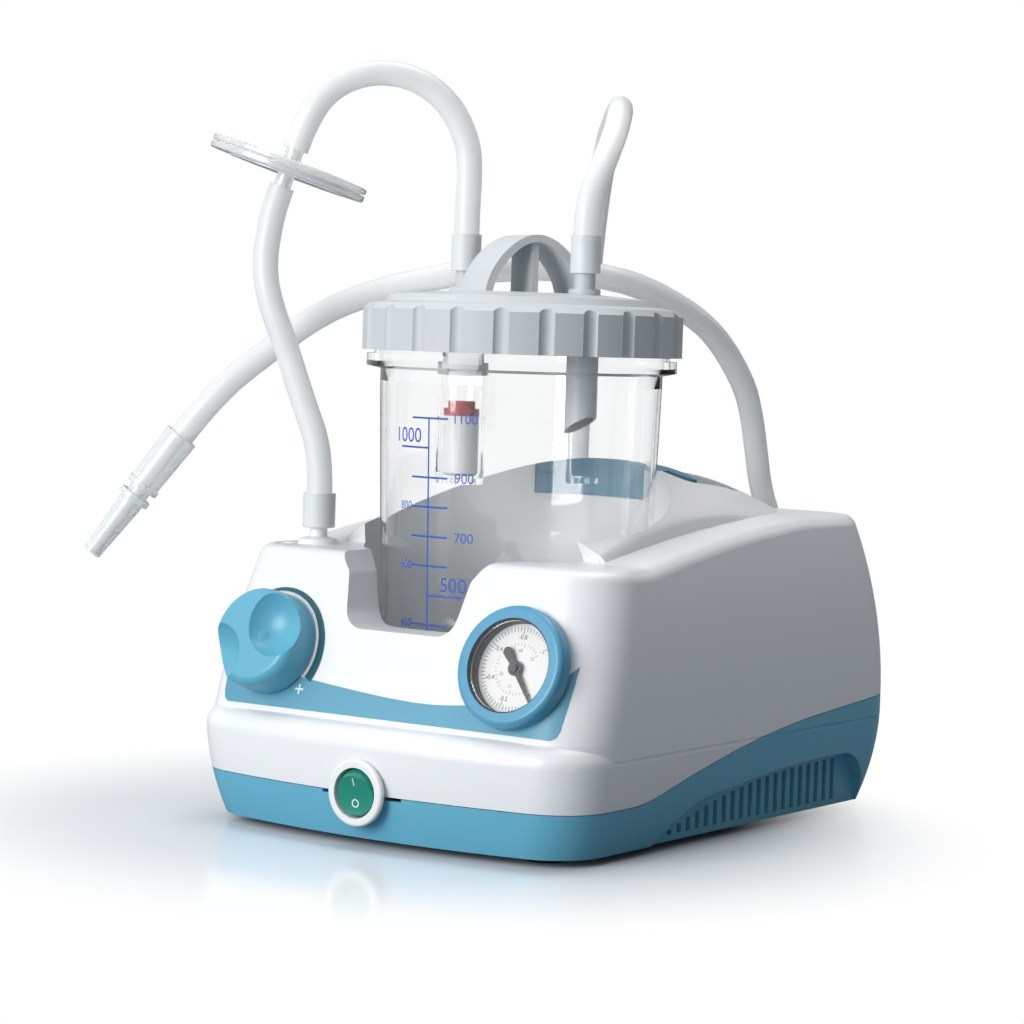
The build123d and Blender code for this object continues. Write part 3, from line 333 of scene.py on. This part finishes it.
def lay_on(piece, target, direction, offset):
    """Lay a flat piece on a surface at an offset, along a local axis or at the nearest points"""
    wrap = piece.modifiers.new("lay", "SHRINKWRAP")
    wrap.target = nodes[target]
    wrap.wrap_method = "NEAREST_SURFACEPOINT" if direction is None else "PROJECT"
    wrap.use_negative_direction = True
    wrap.use_positive_direction = True
    wrap.offset = offset
    if direction is not None:
        wrap.use_project_x, wrap.use_project_y, wrap.use_project_z = direction
    only(piece)
    bpy.ops.object.modifier_apply(modifier="lay")


def between(points, x):
    """Height of a smooth line through points at x"""
    last = len(points) - 1
    for index in range(last):
        (x0, y0), (x1, y1) = points[index], points[index + 1]
        if x <= x1 or index == last - 1:
            before, after = points[max(index - 1, 0)], points[min(index + 2, last)]
            slope0 = (y1 - before[1]) / (x1 - before[0]) * (x1 - x0)
            slope1 = (after[1] - y0) / (after[0] - x0) * (x1 - x0)
            t = min(max((x - x0) / (x1 - x0), 0), 1)
            return (
                y0 * (2 * t**3 - 3 * t**2 + 1) + slope0 * (t**3 - 2 * t**2 + t)
                + y1 * (3 * t**2 - 2 * t**3) + slope1 * (t**3 - t**2)
            )


# Prints start just above the panel and are then laid on it
start_height = 0.4

# Blue band along the foot of the panel, its upper edge a slow wave that rises to the gauge
band_left, band_right = -80.5, 82.6
band_foot = 2.1
band_corner = 4.5
band_lean = 0.14
band_top = [
    (-80.5, 20), (-45, 15.4), (-2, 11.2), (22, 10.3), (40, 11.8), (60, 15.5), (72, 20), (82.6, 32),
]


def band_place(u, v):
    x = band_left + (band_right - band_left) * u
    edge = min(x - band_left, band_right - x, band_corner)
    low = band_foot + band_corner - (band_corner**2 - (band_corner - edge) ** 2) ** 0.5
    y = low + (between(band_top, x) - low) * v
    lean = band_lean * (y - band_foot) * (2 * u - 1) ** 5
    return on_panel(x + lean, y, start_height)


band = patch(160, 14, band_place)
lay_on(band, "upper_housing", None, 0.00015)
done(band, "panel_band", band_blue)


# Crescent scale round the knob, growing thicker clockwise
crescent_start, crescent_sweep = 112, -144
crescent_radius, crescent_drift = 21.7, 0.3
crescent_thin, crescent_growth = 0.9, 2.9


def crescent_place(u, v):
    angle = radians(crescent_start + crescent_sweep * u)
    inner = crescent_radius + crescent_drift * u
    outer = inner + crescent_thin + crescent_growth * u**0.8
    radius = inner + (outer - inner) * v
    across, along = radius * cos(angle), radius * sin(angle)
    return on_panel(knob_at[0] + across, knob_at[1] + along, start_height)


crescent = patch(60, 3, crescent_place)
lay_on(crescent, "upper_housing", None, 0.0002)
done(crescent, "knob_scale", print_teal)

# Plus sign at the end of the scale
plus_at = (-41.6, 10.2)
strokes = []
for wide, tall in ((4.0, 0.7), (0.7, 4.0)):
    stroke = patch(4, 4, lambda u, v: on_panel(
        plus_at[0] + wide * (u - 0.5), plus_at[1] + tall * (v - 0.5), start_height))
    lay_on(stroke, "upper_housing", None, 0.00025 + 0.00003 * len(strokes))
    strokes.append(stroke)
only(strokes[0])
strokes[1].select_set(True)
bpy.ops.object.join()
done(strokes[0], "plus_sign", print_white)


# Filled corners where the hood's side walls meet the shoulders
fill_size = (5.8, 4.8, 2.9)
fill_x, fill_y, fill_z = 58.5, -57.9, 112
for side, name in ((-1, "left_corner_fill"), (1, "right_corner_fill")):
    bpy.ops.mesh.primitive_cube_add(size=MM)
    fill = bpy.context.object
    fill.scale = fill_size
    fill.location = Vector((side * fill_x, fill_y, fill_z)) * MM
    done(fill, name, paints["housing_white"], smooth=False)

# Low web in the knob's scoop, over the end of its spindle
scoop_at = Vector((knob_at[0] + 11, knob_at[1] + 6, 23.5))
web_at = Vector((knob_at[0] + 2.45, knob_at[1] + 1.34, 10.75))
web_size = (2.6, 2.6, 0.42)
web_up = panel_turn @ (scoop_at - web_at)
bpy.ops.mesh.primitive_uv_sphere_add(segments=32, ring_count=16, radius=MM)
web = bpy.context.object
web.scale = web_size
web.rotation_euler = web_up.to_track_quat("Z", "Y").to_euler()
web.location = on_panel(*web_at)
done(web, "knob_web", paints["knob_blue"], "suction_control")


def lettering(text, size):
    """Text as a flat mesh, centred, in the XY plane, size in millimetres"""
    bpy.ops.object.text_add(location=(0, 0, 0))
    piece = bpy.context.object
    piece.data.body = text
    piece.data.size = size * MM
    piece.data.align_x = "CENTER"
    piece.data.align_y = "CENTER"
    only(piece)
    bpy.ops.object.convert(target="MESH")
    return bpy.context.object


def gauge_point(radius, angle, height):
    """Point above the dial, angle anticlockwise from the right"""
    return on_panel(gauge_at[0] + radius * cos(angle), gauge_at[1] + radius * sin(angle), height)


# Dial: outer black scale with numbers, inner pink scale
panel_basis = panel_turn.to_4x4()
scale_start = 307.0
scale_sweep = -270.0
mark_thickness = 0.04
mark_height = 0.06
number_height = 0.08


def dial_ticks(count, inner, outer, width, every, longer):
    """Ring of graduation marks, one in every few longer"""
    marks = []
    for index in range(count + 1):
        angle = radians(scale_start + scale_sweep * index / count)
        reach = outer - inner + (longer if index % every == 0 else 0)
        middle = Matrix.Translation(gauge_point(outer - reach / 2, angle, mark_height))
        size = Matrix.Diagonal((reach * MM, width * MM, mark_thickness * MM, 1))
        bpy.ops.mesh.primitive_cube_add(size=1)
        mark = bpy.context.object
        mark.matrix_world = middle @ panel_basis @ Matrix.Rotation(angle, 4, "Z") @ size
        marks.append(mark)
    only(marks[0])
    for mark in marks[1:]:
        mark.select_set(True)
    bpy.ops.object.join()
    return marks[0]


outer_marks = dial_ticks(50, inner=14.6, outer=16.2, width=0.22, every=10, longer=1.2)
done(outer_marks, "dial_outer_marks", print_black, smooth=False)
inner_marks = dial_ticks(30, inner=9.2, outer=10.2, width=0.2, every=5, longer=0.8)
done(inner_marks, "dial_inner_marks", print_pink, smooth=False)


def dial_numbers(labels, radius, size, name, material):
    """Numbers spaced evenly along the scale"""
    pieces = []
    for index, label in enumerate(labels):
        angle = radians(scale_start + scale_sweep * index / (len(labels) - 1))
        piece = lettering(label, size)
        piece.matrix_world = Matrix.Translation(gauge_point(radius, angle, number_height)) @ panel_basis
        pieces.append(piece)
    only(pieces[0])
    for piece in pieces[1:]:
        piece.select_set(True)
    bpy.ops.object.join()
    done(pieces[0], name, material, smooth=False)


dial_numbers(["0", "-0.2", "-0.4", "-0.6", "-0.8", "-1"], 12.3, 2.5, "dial_outer_numbers", print_black)
dial_numbers(["0", "15", "30", "45", "60", "75"], 7.2, 1.9, "dial_inner_numbers", print_pink)

# Marks on the rocker, set out in front of it and laid on
switch_z = 21.5
before_rocker_y = -134.0
for name, label, height in (("rocker_on_mark", "I", 4.2), ("rocker_off_mark", "O", -4.2)):
    mark = lettering(label, 4.6)
    place = Matrix.Translation(Vector((0, before_rocker_y, switch_z + height)) * MM)
    mark.matrix_world = place @ Matrix.Rotation(pi / 2, 4, "X")
    only(mark)
    bpy.ops.object.transform_apply(location=True, rotation=True, scale=True)
    lay_on(mark, "switch_rocker", (False, True, False), 0.00008)
    done(mark, name, print_white, "rocker", smooth=False)

# Jar graduations, wrapped round the wall
jar_line_angle = radians(-93.9)

# Outside of the jar's wall: heights and radii of its profile
jar_foot, jar_middle, jar_neck = (30, 52.6), (115, 55.5), (178, 57.3)
print_lift = 0.12


def jar_radius(z):
    """Outer radius of the jar's wall at a height, in millimetres"""
    section = (jar_foot, jar_middle) if z < jar_middle[0] else (jar_middle, jar_neck)
    (low_z, low), (high_z, high) = section
    return low + (z - low_z) * (high - low) / (high_z - low_z)


def wrap_on_jar(piece, across, z):
    """Bend a flat mesh in XY round the jar's wall, its middle across millimetres right of the line"""
    for vertex in piece.data.vertices:
        height = z + vertex.co.y / MM
        radius = jar_radius(height) + print_lift
        angle = jar_line_angle + (across + vertex.co.x / MM) / radius
        vertex.co = Vector((radius * cos(angle), jar_y + radius * sin(angle), height)) * MM
    piece.matrix_world = Matrix.Identity(4)


def jar_stroke(across, z, wide, tall):
    """Printed line on the jar, wide and tall in millimetres"""
    columns, rows = max(2, int(wide)), max(2, int(tall / 8))
    bpy.ops.mesh.primitive_grid_add(x_subdivisions=columns, y_subdivisions=rows, size=1)
    piece = bpy.context.object
    for vertex in piece.data.vertices:
        vertex.co.x *= wide * MM
        vertex.co.y *= tall * MM
    wrap_on_jar(piece, across, z)
    return piece


jar_step = 11.67
jar_low_z = 47.7
stroke_width = 0.75
tick_length = 18.4
long_tick_length = 16.0
printed = [jar_stroke(0, jar_low_z + jar_step * 5, stroke_width, jar_step * 10)]
for step in range(11):
    volume = 100 * (step + 1)
    z = jar_low_z + jar_step * step
    side = 1 if step % 2 == 0 else -1
    if volume in (500, 1000):
        printed.append(jar_stroke(side * long_tick_length / 2, z, long_tick_length, stroke_width))
        label, across, rise = lettering(str(volume), 8.2), side * 12, 4.4
    else:
        printed.append(jar_stroke(0, z, tick_length, stroke_width))
        size, across = (5.6, 16.5) if side > 0 else (4.8, -12.5)
        label, rise = lettering(str(volume), size), 0
    wrap_on_jar(label, across, z + rise)
    printed.append(label)
only(printed[0])
for piece in printed[1:]:
    piece.select_set(True)
bpy.ops.object.join()
done(printed[0], "jar_graduations", print_blue, "jar", smooth=False)


def seen(tree):
    """1 for what the camera sees, also through clear walls, and 0 for light that is scattered"""
    rays = tree.nodes.new("ShaderNodeLightPath")
    either = tree.nodes.new("ShaderNodeMath")
    either.operation = "MAXIMUM"
    tree.links.new(rays.outputs["Is Camera Ray"], either.inputs[0])
    tree.links.new(rays.outputs["Is Transmission Ray"], either.inputs[1])
    return either.outputs[0]


def mix_shaders(tree, amount, first, second):
    """Blend of two shaders"""
    blend = tree.nodes.new("ShaderNodeMixShader")
    tree.links.new(amount, blend.inputs[0])
    tree.links.new(first, blend.inputs[1])
    tree.links.new(second, blend.inputs[2])
    return blend.outputs[0]


# Stage: pale floor and soft studio light
bpy.ops.mesh.primitive_plane_add(size=12)
floor = bpy.context.object
floor.name = "floor"
floor_paint, floor_tree, floor_surface, floor_place = shader("floor")
floor_surface.inputs["Base Color"].default_value = (0.93, 0.95, 0.97, 1)
floor_surface.inputs["Roughness"].default_value = 0.14
floor_surface.inputs["Specular IOR Level"].default_value = 0.6
floor.data.materials.append(floor_paint)

# Away from the object the floor runs out into the white of the background
white_out = floor_tree.nodes.new("ShaderNodeEmission")
white_out.inputs["Color"].default_value = (1, 1, 1, 1)
from_middle = floor_tree.nodes.new("ShaderNodeVectorMath")
from_middle.operation = "SUBTRACT"
from_middle.inputs[1].default_value = (-0.02, -0.06, 0)
floor_tree.links.new(floor_place, from_middle.inputs[0])
reach = floor_tree.nodes.new("ShaderNodeVectorMath")
reach.operation = "LENGTH"
floor_tree.links.new(from_middle.outputs[0], reach.inputs[0])
fade = floor_tree.nodes.new("ShaderNodeMapRange")
fade.interpolation_type = "SMOOTHSTEP"
fade.inputs["From Min"].default_value = 0.12
fade.inputs["From Max"].default_value = 0.235
floor_tree.links.new(reach.outputs["Value"], fade.inputs["Value"])
pale_floor = mix_shaders(
    floor_tree, fade.outputs["Result"], floor_surface.outputs[0], white_out.outputs[0])

# The light it scatters on to the object is kept low, so that the side away from the lamps stays grey
dim_floor = floor_tree.nodes.new("ShaderNodeBsdfDiffuse")
dim_floor.inputs["Color"].default_value = (0.24, 0.27, 0.30, 1)
floor_out = mix_shaders(floor_tree, seen(floor_tree), dim_floor.outputs[0], pale_floor)
floor_tree.links.new(floor_out, floor_tree.nodes["Material Output"].inputs["Surface"])

world = bpy.data.worlds.new("studio")
scene.world = world
world.use_nodes = True
tree = world.node_tree
backdrop = tree.nodes["Background"]
backdrop.inputs["Color"].default_value = (0.94, 0.97, 1.0, 1)
facing = tree.nodes.new("ShaderNodeVectorMath")
facing.operation = "DOT_PRODUCT"
facing.inputs[1].default_value = Vector((-0.72, -0.60, 0.35)).normalized()
tree.links.new(tree.nodes.new("ShaderNodeTexCoord").outputs["Generated"], facing.inputs[0])
spread = tree.nodes.new("ShaderNodeMapRange")
spread.inputs["From Min"].default_value = -0.5
spread.inputs["From Max"].default_value = 0.8
spread.inputs["To Min"].default_value = 0.08
spread.inputs["To Max"].default_value = 0.85
tree.links.new(facing.outputs["Value"], spread.inputs["Value"])
tree.links.new(spread.outputs["Result"], backdrop.inputs["Strength"])
bright = tree.nodes.new("ShaderNodeBackground")
bright.inputs["Color"].default_value = (1, 1, 1, 1)
bright.inputs["Strength"].default_value = 1.0
world_out = mix_shaders(tree, seen(tree), backdrop.outputs[0], bright.outputs[0])
tree.links.new(world_out, tree.nodes["World Output"].inputs["Surface"])


def lamp(name, place, target, size, power):
    """Soft rectangular studio lamp"""
    data = bpy.data.lights.new(name, "AREA")
    data.shape = "RECTANGLE"
    data.size, data.size_y = size
    data.energy = power
    lamp_object = bpy.data.objects.new(name, data)
    scene.collection.objects.link(lamp_object)
    lamp_object.location = place
    aim = Vector(target) - Vector(place)
    lamp_object.rotation_euler = aim.to_track_quat("-Z", "Y").to_euler()


lamp("key", (-0.3, -1.65, 0.55), (0, -0.03, 0.1), (0.9, 0.9), 20.5)
lamp("top", (0.08, 0.3, 1.5), (0.05, 0, 0.14), (1.0, 1.0), 12)
lamp("edge", (0.5, 1.5, 0.9), (0.05, 0.1, 0.1), (0.5, 0.7), 1.5)

scene.view_settings.view_transform = "Standard"
